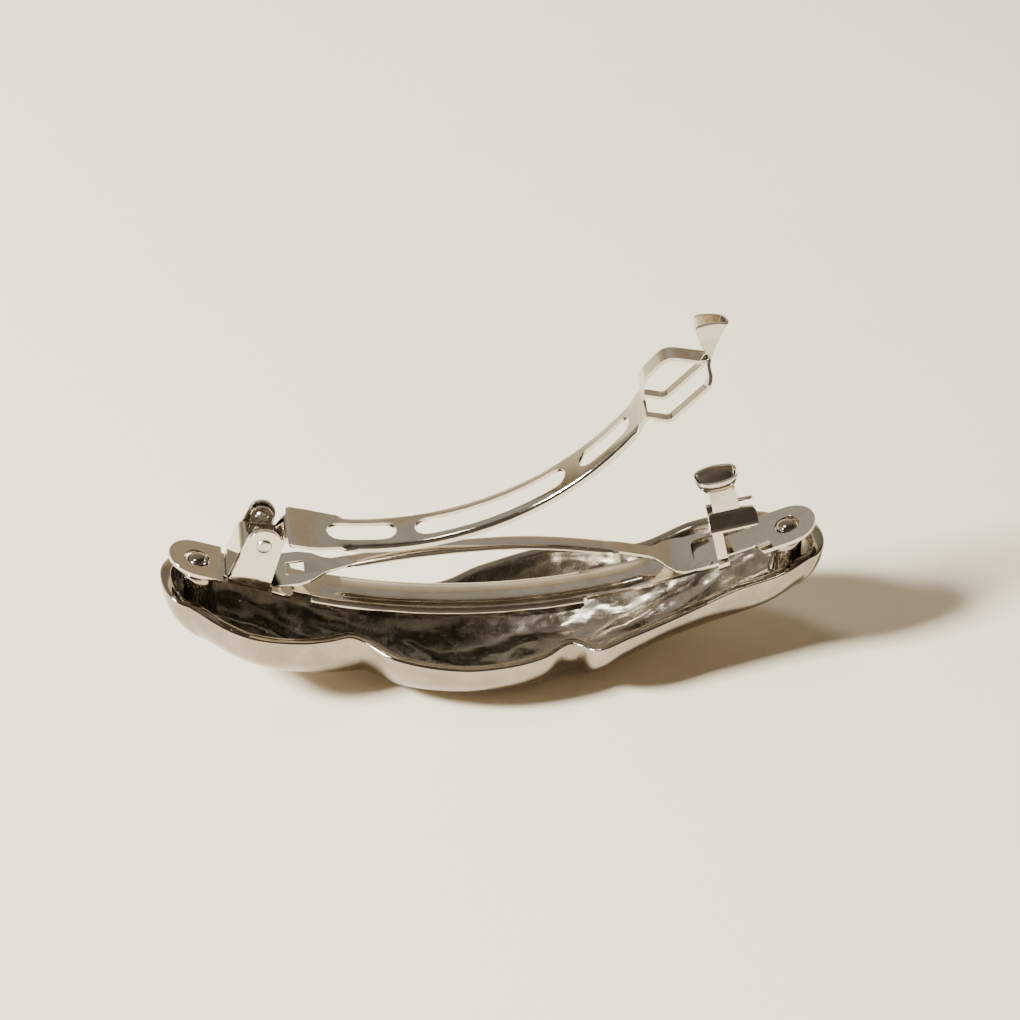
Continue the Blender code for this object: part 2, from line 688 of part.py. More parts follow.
def build_leg(name, side, group, material):
    """One side of the sprung catch: strap, squeeze pad, leg and half of the flared oval head."""
    columns = 10
    rows = leg_rows()
    middle = []
    for height, start, end, offset, bulge in rows:
        row = []
        for k in range(columns + 1):
            angle = math.pi * k / columns
            x = start + (end - start) * (0.5 - 0.5 * math.cos(angle))
            row.append((x, offset + bulge * math.sin(angle), height))
        middle.append(row)
    bm = bmesh.new()
    faces = []
    for way in (-1, 1):
        grid = []
        for i, row in enumerate(middle):
            below = middle[max(i - 1, 0)]
            above = middle[min(i + 1, len(middle) - 1)]
            line = []
            for k, (x, y, z) in enumerate(row):
                lean = (above[k][1] - below[k][1]) / (above[k][2] - below[k][2])
                half = CATCH_SHEET / 2 * min(math.sqrt(1 + lean * lean), 1.6)
                line.append(bm.verts.new((x * MM, side * (y + way * half) * MM, z * MM)))
            grid.append(line)
        faces.append(grid)
        for low, high in zip(grid, grid[1:]):
            for k in range(columns):
                bm.faces.new((low[k], low[k + 1], high[k + 1], high[k]))
    inner, outer = faces
    for k in range(columns):
        bm.faces.new((inner[0][k], inner[0][k + 1], outer[0][k + 1], outer[0][k]))
        bm.faces.new((inner[-1][k], inner[-1][k + 1], outer[-1][k + 1], outer[-1][k]))
    for i in range(len(rows) - 1):
        bm.faces.new((inner[i][0], inner[i + 1][0], outer[i + 1][0], outer[i][0]))
        bm.faces.new((inner[i][-1], inner[i + 1][-1], outer[i + 1][-1], outer[i][-1]))
    bmesh.ops.recalc_face_normals(bm, faces=bm.faces)
    mesh = bpy.data.meshes.new(name)
    bm.to_mesh(mesh)
    bm.free()
    mesh.materials.append(material)
    pivot = Vector((0, side * STRAP_Y, LEG_PIVOT_HEIGHT)) * MM
    mesh.transform(Matrix.Translation(-pivot))
    piece = bpy.data.objects.new(name, mesh)
    group.objects.link(piece)
    piece.matrix_world = catch_frame() @ Matrix.Translation(pivot)
    return piece


# ----------------------------------------------------------------------- shell

# Half widths of the free-form outline on the hinge-side-down (near, -Y) and far (+Y) edges, as
# (station, half width): three lobes, a soft waist and one sharp pleat on the near side.
NEAR_EDGE = [
    (-36.5, 5.6), (-32.4, 8.6), (-28.8, 9.6), (-23.5, 8.7), (-20.0, 7.3), (-17.4, 6.1), (-15.6, 7.2),
    (-12.6, 9.8), (-5.2, 11.6), (1.0, 11.2), (5.4, 9.9), (8.5, 7.9), (11.4, 10.0), (15.5, 8.8),
    (22.0, 6.9), (28.5, 5.3), (34.0, 5.0), (37.6, 3.4),
]
FAR_EDGE = [
    (-36.5, 4.6), (-30.0, 6.6), (-22.0, 6.2), (-13.0, 5.2), (-6.0, 6.2), (-1.0, 9.3), (7.5, 12.0),
    (13.0, 10.9), (18.5, 9.3), (25.5, 10.7), (33.0, 8.6), (36.8, 5.0),
]


def between(keys, x):
    """Catmull-Rom interpolation of (station, value) keys."""
    i = 0
    while i < len(keys) - 2 and x > keys[i + 1][0]:
        i += 1
    x0, v0 = keys[i]
    x1, v1 = keys[i + 1]
    slope0 = (v1 - keys[max(i - 1, 0)][1]) / (x1 - keys[max(i - 1, 0)][0])
    slope1 = (keys[min(i + 2, len(keys) - 1)][1] - v0) / (keys[min(i + 2, len(keys) - 1)][0] - x0)
    u = min(max((x - x0) / (x1 - x0), 0.0), 1.0)
    span = x1 - x0
    return (
        v0 * (2 * u ** 3 - 3 * u ** 2 + 1)
        + slope0 * span * (u ** 3 - 2 * u ** 2 + u)
        + v1 * (-2 * u ** 3 + 3 * u ** 2)
        + slope1 * span * (u ** 3 - u ** 2)
    )


def plate_height(x):
    """The base plate's level over the shell's own length."""
    limit = BASE_RADIUS * math.sin(math.radians(BASE_END_SLOPE))
    x = abs(x)
    if x < limit:
        return BASE_RADIUS - math.sqrt(BASE_RADIUS ** 2 - x * x)
    rise = BASE_RADIUS * (1 - math.cos(math.radians(BASE_END_SLOPE)))
    return rise + (x - limit) * math.tan(math.radians(BASE_END_SLOPE))


def rim_point(turn):
    """Edge of the shell at an angle round it, in millimetres (0 at the catch end, far side first)."""
    c, s = math.cos(turn), math.sin(turn)
    x = SHELL_HALF_LENGTH * math.copysign(abs(c) ** 0.86, c)
    keys = FAR_EDGE if s > 0 else NEAR_EDGE
    inside = min(max(x, keys[0][0]), keys[-1][0])
    width = between(keys, inside)
    beyond = abs(x) - abs(inside)
    if beyond > 0:
        width *= math.sqrt(max(1 - (beyond / (SHELL_HALF_LENGTH - abs(inside))) ** 2, 0.0))
    z = BASE_LEVEL + plate_height(x) - 2.3 - 1.2 * (x / 40) ** 2
    return Vector((x, math.copysign(width, s) if abs(s) > 1e-6 else 0.0, z))


def floor_height(x):
    """The crown line of the shell's face: the lowest line of the part as it lies."""
    if x < 0:
        return 0.0066 * x * x - REST_SINK
    near = min(x, 25.0)
    return 0.0085 * near * near + 0.425 * (x - near) - REST_SINK


def fullness(x, near):
    """Exponent of the cross-section: 2 is an ellipse, less is a straighter flank."""
    dip = math.exp(-(((x - 22) / 9) ** 2)) if near else 0.0
    return 2.05 - 0.5 * dip


def build_shell(group, cutters, material):
    around = 108
    rings = 8
    bm = bmesh.new()
    grid = []
    for i in range(around):
        turn = math.tau * i / around
        rim = rim_point(turn)
        spine_x = rim.x * SPINE_HALF_LENGTH / SHELL_HALF_LENGTH
        ends = 1 - (abs(rim.x) / SHELL_HALF_LENGTH) ** 4
        spine = Vector((spine_x, 0.0, floor_height(spine_x) + 1.0 * (1 - ends)))
        power = 2 / fullness(rim.x, rim.y < 0)
        column = []
        for k in range(rings + 1):
            tilt = math.pi / 2 * k / rings
            out = math.sin(tilt) ** power
            deep = math.cos(tilt) ** power if k < rings else 0.0
            point = spine.lerp(rim, out)
            point.z = max(rim.z + (spine.z - rim.z) * deep, 0.0)
            column.append(bm.verts.new(point * MM))
        grid.append(column)
    for i in range(around):
        a, b = grid[i], grid[(i + 1) % around]
        for k in range(rings):
            bm.faces.new((a[k], b[k], b[k + 1], a[k + 1]))
    bmesh.ops.remove_doubles(bm, verts=bm.verts, dist=0.02 * MM)
    bmesh.ops.dissolve_degenerate(bm, edges=bm.edges, dist=0.01 * MM)
    bmesh.ops.recalc_face_normals(bm, faces=bm.faces)
    down = min(bm.faces, key=lambda f: f.calc_center_median().z)
    if down.normal.z > 0:
        bmesh.ops.reverse_faces(bm, faces=bm.faces)
    mesh = bpy.data.meshes.new("shell")
    bm.to_mesh(mesh)
    bm.free()
    mesh.materials.append(material)
    mesh.shade_smooth()
    shell = bpy.data.objects.new("shell", mesh)
    group.objects.link(shell)
    wall = shell.modifiers.new("Wall", "SOLIDIFY")
    wall.thickness = SHELL_WALL * MM
    wall.offset = -1.0
    wall.use_even_offset = False
    for side, label in ((-1, "hinge_end"), (1, "catch_end")):
        station = side * (BASE_HALF_LENGTH - TAB_HOLE_INSET)
        seat = on_base(station, 0, 0)
        reach = seat.z - floor_height(seat.x) - 2.2
        drop = POST_RADIUS * math.tan(math.radians(BASE_END_SLOPE)) + BASE_SHEET / 2 + 0.2
        profile = [(0, 0.62), (0.5, 0.55), (0.85, 0.38), (PEG_RADIUS, 0.1), (PEG_RADIUS, -0.62)]
        profile += [(POST_RADIUS, -drop - 0.1), (POST_RADIUS, -reach), (0, -reach)]
        post = turned("post_" + label, profile, 20, cutters)
        post.location = seat * MM
        post.hide_render = True
        post.display_type = "WIRE"
        join = shell.modifiers.new("Join " + label, "BOOLEAN")
        join.operation = "UNION"
        join.solver = "EXACT"
        join.object = post
    return shell


def main():
    clear_scene()
    parts = collection("french_barrette")
    cutters = collection("french_barrette_cutters")
    cast = metal("polished_nickel_cast", (0.72, 0.70, 0.66), 0.12)
    stamped = metal("plated_steel_sheet", (0.74, 0.71, 0.66), 0.10)
    spring = metal("plated_spring_steel", (0.70, 0.67, 0.62), 0.12)
    rivet = metal("plated_rivet", (0.68, 0.66, 0.62), 0.14)
    build_shell(parts, cutters, cast)
    build_base(parts, stamped)
    build_rivet("hinge_rivet_near", -1, parts, rivet)
    build_rivet("hinge_rivet_far", 1, parts, rivet)
    build_arm(parts, stamped)
    build_spring(parts, spring)
    build_saddle(parts, spring)
    build_leg("catch_leg_near", -1, parts, spring)
    build_leg("catch_leg_far", 1, parts, spring)


main()
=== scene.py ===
"""Open French barrette lying face down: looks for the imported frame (pieces, materials, light, camera)."""

import math

import bmesh
import bpy
from mathutils import Matrix, Vector, noise


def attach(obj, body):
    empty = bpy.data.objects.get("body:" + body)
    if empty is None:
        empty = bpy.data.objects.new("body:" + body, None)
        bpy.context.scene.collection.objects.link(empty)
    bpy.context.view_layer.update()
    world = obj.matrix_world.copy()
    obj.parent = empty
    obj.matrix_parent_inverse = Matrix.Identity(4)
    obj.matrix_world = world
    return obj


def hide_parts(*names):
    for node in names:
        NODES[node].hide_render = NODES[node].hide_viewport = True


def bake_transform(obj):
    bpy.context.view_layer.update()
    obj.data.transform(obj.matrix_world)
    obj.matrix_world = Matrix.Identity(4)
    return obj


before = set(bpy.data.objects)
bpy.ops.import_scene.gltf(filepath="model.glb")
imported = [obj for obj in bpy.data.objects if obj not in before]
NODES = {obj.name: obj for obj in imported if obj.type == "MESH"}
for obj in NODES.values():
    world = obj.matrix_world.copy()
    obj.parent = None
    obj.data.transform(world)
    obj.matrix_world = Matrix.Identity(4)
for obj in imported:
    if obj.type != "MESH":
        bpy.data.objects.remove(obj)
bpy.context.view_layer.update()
MM = 0.001

# ------------------------------------------------------------------ node helpers


class Graph:
    """A material's node tree, with short calls for the nodes used here."""

    def __init__(self, name):
        self.material = bpy.data.materials.new(name)
        self.material.use_nodes = True
        self.tree = self.material.node_tree
        self.tree.nodes.clear()
        self.out = self.node("ShaderNodeOutputMaterial")
        self.shader = self.node("ShaderNodeBsdfPrincipled")
        self.link(self.shader.outputs["BSDF"], self.out.inputs["Surface"])
        self.place = self.node("ShaderNodeTexCoord").outputs["Object"]

    def node(self, kind, **values):
        made = self.tree.nodes.new(kind)
        for key, value in values.items():
            setattr(made, key, value)
        return made

    def link(self, a, b):
        self.tree.links.new(a, b)

    def stretched(self, scale, turn=(0, 0, 0)):
        m = self.node("ShaderNodeMapping")
        m.inputs["Scale"].default_value = scale
        m.inputs["Rotation"].default_value = turn
        self.link(self.place, m.inputs["Vector"])
        return m.outputs["Vector"]

    def noise(self, scale, detail=3.0, rough=0.5, distort=0.0, at=None):
        n = self.node("ShaderNodeTexNoise")
        n.inputs["Scale"].default_value = scale
        n.inputs["Detail"].default_value = detail
        n.inputs["Roughness"].default_value = rough
        n.inputs["Distortion"].default_value = distort
        self.link(at or self.place, n.inputs["Vector"])
        return n.outputs["Fac"]

    def cells(self, scale):
        n = self.node("ShaderNodeTexVoronoi", feature="F1")
        n.inputs["Scale"].default_value = scale
        self.link(self.place, n.inputs["Vector"])
        return n.outputs["Distance"]

    def ramp(self, value, low, high, a=0.0, b=1.0):
        n = self.node("ShaderNodeMapRange", interpolation_type="SMOOTHSTEP")
        n.inputs["From Min"].default_value = low
        n.inputs["From Max"].default_value = high
        n.inputs["To Min"].default_value = a
        n.inputs["To Max"].default_value = b
        self.link(value, n.inputs["Value"])
        return n.outputs["Result"]

    def add(self, a, b):
        n = self.node("ShaderNodeMath", operation="ADD")
        self.link(a, n.inputs[0])
        self.link(b, n.inputs[1])
        return n.outputs[0]

    def mix(self, share, a, b):
        n = self.node("ShaderNodeMix", data_type="RGBA")
        self.link(share, n.inputs["Factor"])
        for socket, value in ((n.inputs["A"], a), (n.inputs["B"], b)):
            if isinstance(value, tuple):
                socket.default_value = (*value, 1.0)
            else:
                self.link(value, socket)
        return n.outputs["Result"]

    def bump(self, height, strength, distance, before=None):
        n = self.node("ShaderNodeBump")
        n.inputs["Strength"].default_value = strength
        n.inputs["Distance"].default_value = distance
        self.link(height, n.inputs["Height"])
        if before is not None:
            self.link(before, n.inputs["Normal"])
        return n.outputs["Normal"]


def plated(name, bright, dull, rough, swell, swell_scale, along, scratch, pits=0.03):
    """Nickel-tone plating: faint tarnish clouds, handling smears, hair scratches, pits and a slight swell."""
    g = Graph(name)
    clouds = g.ramp(g.noise(260, 5, 0.62, 0.4), 0.36, 0.68)
    edge = g.node("ShaderNodeNewGeometry").outputs["Pointiness"]
    # Lighter on sharp convex edges, where the pointiness is high.
    edge_lightening = g.ramp(edge, 0.50, 0.56)
    colour = g.mix(clouds, dull, bright)
    lifted = tuple(min(c * 1.08, 1.0) for c in bright)
    g.link(g.mix(edge_lightening, colour, lifted), g.shader.inputs["Base Color"])
    g.shader.inputs["Metallic"].default_value = 1.0
    smears = g.ramp(g.noise(420, 4, 0.6, 1.2), 0.42, 0.72, rough[0], rough[1])
    lines = g.noise(1.0, 6, 0.7, 0.0, g.stretched(tuple(1400 * a for a in along), (0.02, 0.03, 0.12)))
    streaks = g.ramp(lines, 0.5, 0.8, 0.0, 0.05)
    g.link(g.add(smears, streaks), g.shader.inputs["Roughness"])
    normal = g.bump(g.noise(swell_scale, 2, 0.45, 0.3), swell, 0.0006)
    normal = g.bump(lines, scratch, 0.00002, normal)
    normal = g.bump(g.ramp(g.cells(2600), 0.0, 0.35), pits, 0.00002, normal)
    g.link(normal, g.shader.inputs["Normal"])
    g.shader.inputs["IOR"].default_value = 1.9
    return g.material


# The base colours are set to give the photo's tones in this light; they aren't measured reflectances.
# Partly painted shade: these base colours, the cast plating's most of all, are darker than bright nickel.
# They stand in for the shadowed floor and dark room that the metal reflects.
CAST = plated(
    "cast_plating", (0.37, 0.338, 0.288), (0.275, 0.248, 0.208), (0.07, 0.17),
    swell=0.14, swell_scale=130, along=(1, 1, 1), scratch=0.04, pits=0.05,
)
SHEET = plated(
    "sheet_plating", (0.62, 0.583, 0.52), (0.50, 0.463, 0.405), (0.05, 0.13),
    swell=0.05, swell_scale=110, along=(0.12, 1, 1), scratch=0.08,
)
SPRING = plated(
    "spring_plating", (0.60, 0.56, 0.50), (0.46, 0.42, 0.365), (0.06, 0.15),
    swell=0.06, swell_scale=130, along=(0.1, 1, 1), scratch=0.1,
)


def bowl_material():
    """The as-cast back of the shell: the same plating over a hammered, slightly stained casting."""
    g = Graph("cast_back_plating")
    clouds = g.ramp(g.noise(190, 6, 0.66, 0.8), 0.34, 0.66)
    stain = g.ramp(g.noise(520, 5, 0.7, 1.5), 0.46, 0.7)
    # The plating's own tone, painted darker: painted shade for the shade and dark reflections inside the
    # bowl. The stain patches vary at random.
    colour = g.mix(clouds, (0.27, 0.238, 0.197), (0.47, 0.435, 0.378))
    g.link(g.mix(stain, colour, (0.36, 0.32, 0.265)), g.shader.inputs["Base Color"])
    g.shader.inputs["Metallic"].default_value = 1.0
    g.link(g.ramp(g.noise(600, 4, 0.6, 0.5), 0.35, 0.7, 0.17, 0.33), g.shader.inputs["Roughness"])
    ripples = g.noise(1.0, 2, 0.45, 0.5, g.stretched((130, 300, 240), (0, 0, 0.30)))
    normal = g.bump(ripples, 0.35, 0.0007)
    normal = g.bump(g.ramp(g.cells(420), 0.0, 0.6), 0.10, 0.0003, normal)
    normal = g.bump(g.noise(2400, 4, 0.6), 0.06, 0.00005, normal)
    g.link(normal, g.shader.inputs["Normal"])
    return g.material


def rivet_material():
    """Peened rivet ends: small hammer facets, duller than the sheet."""
    g = Graph("rivet_plating")
    clouds = g.ramp(g.noise(900, 4, 0.6, 0.5), 0.35, 0.7)
    g.link(g.mix(clouds, (0.46, 0.43, 0.37), (0.68, 0.65, 0.59)), g.shader.inputs["Base Color"])
    g.shader.inputs["Metallic"].default_value = 1.0
    g.link(g.ramp(g.noise(1500, 3, 0.6), 0.35, 0.7, 0.14, 0.3), g.shader.inputs["Roughness"])
    normal = g.bump(g.ramp(g.cells(1500), 0.0, 0.5), 0.3, 0.00008)
    g.link(g.bump(g.noise(4000, 3, 0.6), 0.1, 0.00003, normal), g.shader.inputs["Normal"])
    return g.material


BOWL = bowl_material()
RIVET = rivet_material()

# ------------------------------------------------------------------ finished sheet pieces


EASED_OVER = math.radians(50)  # edges sharper than this are eased
MERGE = 0.002 * MM
FLAT = math.radians(0.6)  # faces closer to flat than this are joined


def finished(node, body, material, edge, smooth=35):
    """The stamped piece with its edges eased as tumbling and plating leave them."""
    source = NODES[node]
    bm = bmesh.new()
    bm.from_mesh(source.data)
    bmesh.ops.remove_doubles(bm, verts=bm.verts, dist=MERGE)
    bmesh.ops.dissolve_limit(bm, angle_limit=FLAT, verts=bm.verts, edges=bm.edges)
    mesh = bpy.data.meshes.new(node + "_finished")
    bm.to_mesh(mesh)
    bm.free()
    mesh.materials.append(material)
    piece = bpy.data.objects.new(node + "_finished", mesh)
    bpy.context.scene.collection.objects.link(piece)
    piece.matrix_world = source.matrix_world
    mesh.shade_smooth()
    mesh.set_sharp_from_angle(angle=math.radians(smooth))
    if edge:
        bevel = piece.modifiers.new("Eased edges", "BEVEL")
        bevel.width = edge * MM
        bevel.segments = 2
        bevel.limit_method = "ANGLE"
        bevel.angle_limit = EASED_OVER
        bevel.use_clamp_overlap = True
        bevel.miter_outer = "MITER_ARC"
        flat = piece.modifiers.new("Flat faces stay flat", "WEIGHTED_NORMAL")
        flat.mode = "FACE_AREA"
        flat.weight = 60
        flat.keep_sharp = False
        bpy.context.view_layer.update()
        shaped = piece.evaluated_get(bpy.context.evaluated_depsgraph_get())
        piece.data = bpy.data.meshes.new_from_object(shaped)
        piece.modifiers.clear()
    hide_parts(node)
    if body:
        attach(piece, body)
    return piece


finished("base_plate", "barrette", SHEET, 0.08)
finished("arm", "clasp_arm", SHEET, 0.07)
finished("catch_saddle", "barrette", SPRING, 0.06)
finished("catch_leg_near", "near_leg", SPRING, 0.06, smooth=48)
finished("catch_leg_far", "far_leg", SPRING, 0.06, smooth=48)
spring = finished("tension_spring", None, SPRING, 0.05)
for rivet in ("hinge_rivet_near", "hinge_rivet_far"):
    finished(rivet, "barrette", RIVET, 0.0, smooth=40)
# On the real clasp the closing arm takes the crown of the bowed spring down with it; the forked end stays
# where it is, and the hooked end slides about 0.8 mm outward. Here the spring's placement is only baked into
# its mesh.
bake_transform(spring)

# ------------------------------------------------------------------ the cast shell, finer than the frame's

LEVEL = 9.8
RADIUS = 75.9
END_SLOPE = math.radians(20)
SINK = 0.35
HALF_LENGTH = 39.6
SPINE_HALF = 33.0
NEAR_EDGE = [
    (-36.5, 5.6), (-32.4, 8.6), (-28.8, 9.6), (-23.5, 8.7), (-20.0, 7.3), (-17.4, 6.1), (-15.6, 7.2),
    (-12.6, 9.8), (-5.2, 11.6), (1.0, 11.2), (5.4, 9.9), (8.5, 7.9), (11.4, 10.0), (15.5, 8.8),
    (22.0, 6.9), (28.5, 5.3), (34.0, 5.0), (37.6, 3.4),
]
FAR_EDGE = [
    (-36.5, 4.6), (-30.0, 6.6), (-22.0, 6.2), (-13.0, 5.2), (-6.0, 6.2), (-1.0, 9.3), (7.5, 12.0),
    (13.0, 10.9), (18.5, 9.3), (25.5, 10.7), (33.0, 8.6), (36.8, 5.0),
]


def between(keys, x):
    i = 0
    while i < len(keys) - 2 and x > keys[i + 1][0]:
        i += 1
    x0, v0 = keys[i]
    x1, v1 = keys[i + 1]
    slope0 = (v1 - keys[max(i - 1, 0)][1]) / (x1 - keys[max(i - 1, 0)][0])
    slope1 = (keys[min(i + 2, len(keys) - 1)][1] - v0) / (keys[min(i + 2, len(keys) - 1)][0] - x0)
    u = min(max((x - x0) / (x1 - x0), 0.0), 1.0)
    span = x1 - x0
    return (
        v0 * (2 * u ** 3 - 3 * u ** 2 + 1)
        + slope0 * span * (u ** 3 - 2 * u ** 2 + u)
        + v1 * (-2 * u ** 3 + 3 * u ** 2)
        + slope1 * span * (u ** 3 - u ** 2)
    )


def plate_height(x):
    limit = RADIUS * math.sin(END_SLOPE)
    x = abs(x)
    if x < limit:
        return RADIUS - math.sqrt(RADIUS ** 2 - x * x)
    return RADIUS * (1 - math.cos(END_SLOPE)) + (x - limit) * math.tan(END_SLOPE)


def rim_point(turn):
    c, s = math.cos(turn), math.sin(turn)
    x = HALF_LENGTH * math.copysign(abs(c) ** 0.86, c)
    keys = FAR_EDGE if s > 0 else NEAR_EDGE
    inside = min(max(x, keys[0][0]), keys[-1][0])
    width = between(keys, inside)
    beyond = abs(x) - abs(inside)
    if beyond > 0:
        width *= math.sqrt(max(1 - (beyond / (HALF_LENGTH - abs(inside))) ** 2, 0.0))
    z = LEVEL + plate_height(x) - 2.3 - 1.2 * (x / 40) ** 2
    return Vector((x, math.copysign(width, s) if abs(s) > 1e-6 else 0.0, z))


def floor_height(x):
    if x < 0:
        return 0.0066 * x * x - SINK
    near = min(x, 25.0)
    return 0.0085 * near * near + 0.425 * (x - near) - SINK


def fullness(x, near):
    dip = math.exp(-(((x - 22) / 9) ** 2)) if near else 0.0
    return 2.05 - 0.5 * dip


# Relief inside the bowl, as (x, y, length, width, heading in degrees, height): soft cast ridges and domes.
RELIEF = [
    (-8.5, -0.5, 5.0, 0.9, -38, 0.75), (-3.6, -3.4, 3.2, 1.2, -20, 0.65), (3.6, -0.2, 3.2, 2.0, 5, 0.95),
    (9.6, -1.2, 1.6, 3.0, 0, 0.45), (14.5, 0.6, 5.0, 1.0, 22, 0.35), (20.5, 2.4, 6.0, 0.7, 26, 0.55),
    (17.0, -2.2, 4.0, 1.1, 14, 0.35), (27.0, 4.6, 4.5, 0.9, 30, 0.5), (-15.5, 1.5, 4.0, 1.1, -12, 0.55),
    (-23.0, 3.0, 5.0, 1.0, -24, 0.55), (-21.0, -2.0, 4.0, 1.4, 16, 0.5), (-28.5, 1.0, 3.0, 1.2, 40, 0.45),
    (7.0, 5.0, 6.0, 1.1, 8, 0.5), (-12.0, -4.6, 1.2, 3.2, 0, 0.5), (24.0, -0.6, 4.0, 0.8, 20, 0.45),
]


def relief(x, y):
    total = 0.0
    for cx, cy, length, width, heading, height in RELIEF:
        a = math.radians(heading)
        u = (x - cx) * math.cos(a) + (y - cy) * math.sin(a)
        v = -(x - cx) * math.sin(a) + (y - cy) * math.cos(a)
        total += height * math.exp(-((u / length) ** 2) - (v / width) ** 2)
    total += 0.30 * noise.noise(Vector((x * 0.22, y * 0.35, 1.7)))
    total += 0.16 * noise.noise(Vector((x * 0.55, y * 0.9, 4.1)))
    return total


def build_shell():
    around, rings = 400, 22
    rims = [rim_point(math.tau * i / around) for i in range(around)]
    inward = []
    for i in range(around):
        run = rims[(i + 1) % around] - rims[i - 1]
        n = Vector((-run.y, run.x, 0.0))
        inward.append(n.normalized())
    soft = []
    for i in range(around):
        nearby = (inward[(i + k) % around] for k in range(-4, 5))
        soft.append(sum(nearby, Vector()).normalized())
    lip = [(0.0, 0.0), (0.02, 0.07), (0.08, 0.13), (0.2, 0.17), (0.6, 0.16)]  # inward, up
    lip += [(1.0, 0.13), (1.16, 0.09), (1.24, 0.02), (1.28, -0.1)]
    bm = bmesh.new()
    grid = []
    for i in range(around):
        rim = rims[i]
        spine_x = rim.x * SPINE_HALF / HALF_LENGTH
        ends = 1 - (abs(rim.x) / HALF_LENGTH) ** 4
        spine = Vector((spine_x, 0.0, floor_height(spine_x) + 1.0 * (1 - ends)))
        power = 2 / fullness(rim.x, rim.y < 0)
        column = []
        for k in range(rings + 1):
            tilt = math.pi / 2 * k / rings
            out = math.sin(tilt) ** power
            deep = math.cos(tilt) ** power if k < rings else 0.0
            point = spine.lerp(rim, out)
            point.z = max(rim.z + (spine.z - rim.z) * deep, 0.0)
            column.append(point)
        for across, up in lip[1:]:
            column.append(rim + soft[i] * across + Vector((0, 0, up)))
        inner_rim = rim + soft[i] * 1.32 + Vector((0, 0, -0.25))
        inner_spine = spine + Vector((0, 0, 1.45))
        inner_spine.x *= 0.985
        for k in range(rings, -1, -1):
            tilt = math.pi / 2 * k / rings
            out = math.sin(tilt) ** power
            deep = math.cos(tilt) ** power if k < rings else 0.0
            point = inner_spine.lerp(inner_rim, out)
            point.z = inner_rim.z + (inner_spine.z - inner_rim.z) * deep
            share = min(max((1 - out) / 0.22, 0.0), 1.0)
            share = share * share * (3 - 2 * share)
            lift = relief(point.x, point.y)
            point.z += max(lift, -0.45) * share
            column.append(point)
        grid.append([bm.verts.new(p * MM) for p in column])
    count = len(grid[0])
    for i in range(around):
        a, b = grid[i], grid[(i + 1) % around]
        for k in range(count - 1):
            face = bm.faces.new((a[k], b[k], b[k + 1], a[k + 1]))
            face.material_index = 1 if k >= rings + len(lip) - 1 else 0
            face.smooth = True
    bmesh.ops.remove_doubles(bm, verts=bm.verts, dist=0.006 * MM)
    bmesh.ops.dissolve_degenerate(bm, edges=bm.edges, dist=0.002 * MM)
    bmesh.ops.recalc_face_normals(bm, faces=bm.faces)
    mesh = bpy.data.meshes.new("shell_cast")
    bm.to_mesh(mesh)
    bm.free()
    mesh.materials.append(CAST)
    mesh.materials.append(BOWL)
    shell = bpy.data.objects.new("shell_cast", mesh)
    bpy.context.scene.collection.objects.link(shell)
    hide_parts("shell")
    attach(shell, "barrette")
    return shell


def on_plate(station):
    """A point on the base plate's mid-surface at a distance along it, in mm."""
    bend = RADIUS * END_SLOPE
    past = max(abs(station) - bend, 0.0)
    angle = min(abs(station), bend) / RADIUS
    x = RADIUS * math.sin(angle) + past * math.cos(END_SLOPE)
    z = RADIUS * (1 - math.cos(angle)) + past * math.sin(END_SLOPE)
    return math.copysign(x, station), LEVEL + z


POST_STATION = 36.3
POST_RADIUS = 1.85
PEG_RADIUS = 1.3
SHEET_HALF = 0.25
POST_GAP = 0.25


def build_post(side, name):
    """A cast post with its riveted-over peg coming up through the clasp's end hole."""
    x, z = on_plate(side * POST_STATION)
    low = floor_height(x) + 2.3
    stem = POST_RADIUS
    seat = z - SHEET_HALF - POST_GAP - stem * math.tan(END_SLOPE)
    profile = [(0.0, z + 0.6), (0.35, z + 0.58), (0.7, z + 0.5), (1.0, z + 0.36), (1.22, z + 0.14)]
    profile += [(PEG_RADIUS, z - 0.1), (PEG_RADIUS, seat + 0.25), (PEG_RADIUS + 0.1, seat + 0.08)]
    profile += [(stem - 0.15, seat), (stem, seat - 0.15)]
    drop = seat - low
    profile += [(stem - 0.05, seat - drop * 0.4), (stem, seat - drop * 0.7)]
    profile += [(stem + 0.2, seat - drop * 0.9), (stem + 0.3, low)]
    bm = bmesh.new()
    steps = 48
    rings = []
    for r, h in profile:
        ring = []
        for k in range(steps):
            a = math.tau * k / steps
            rough = 1 + 0.02 * noise.noise(Vector((math.cos(a) * 1.5, math.sin(a) * 1.5, h * 0.7)))
            out = r * rough
            ring.append(bm.verts.new(Vector((x + out * math.cos(a), out * math.sin(a), h)) * MM))
        rings.append(ring)
    for a, b in zip(rings, rings[1:]):
        for k in range(steps):
            bm.faces.new((a[k], a[(k + 1) % steps], b[(k + 1) % steps], b[k])).smooth = True
    bm.faces.new(rings[-1])
    bmesh.ops.remove_doubles(bm, verts=bm.verts, dist=0.001 * MM)
    bmesh.ops.recalc_face_normals(bm, faces=bm.faces)
    mesh = bpy.data.meshes.new(name)
    bm.to_mesh(mesh)
    bm.free()
    mesh.materials.append(CAST)
    post = bpy.data.objects.new(name, mesh)
    bpy.context.scene.collection.objects.link(post)
    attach(post, "barrette")
    return post


build_shell()
build_post(-1, "hinge_end_post")
build_post(1, "catch_end_post")

# ------------------------------------------------------------------ floor, light and camera


def floor_material():
    g = Graph("cream_paper")
    clouds = g.ramp(g.noise(9, 4, 0.55), 0.3, 0.7)
    g.link(g.mix(clouds, (0.85, 0.755, 0.585), (0.89, 0.795, 0.625)), g.shader.inputs["Base Color"])
    g.shader.inputs["Roughness"].default_value = 0.85
    g.shader.inputs["Specular IOR Level"].default_value = 0.25
    g.link(g.bump(g.noise(900, 4, 0.6), 0.06, 0.0001), g.shader.inputs["Normal"])
    return g.material


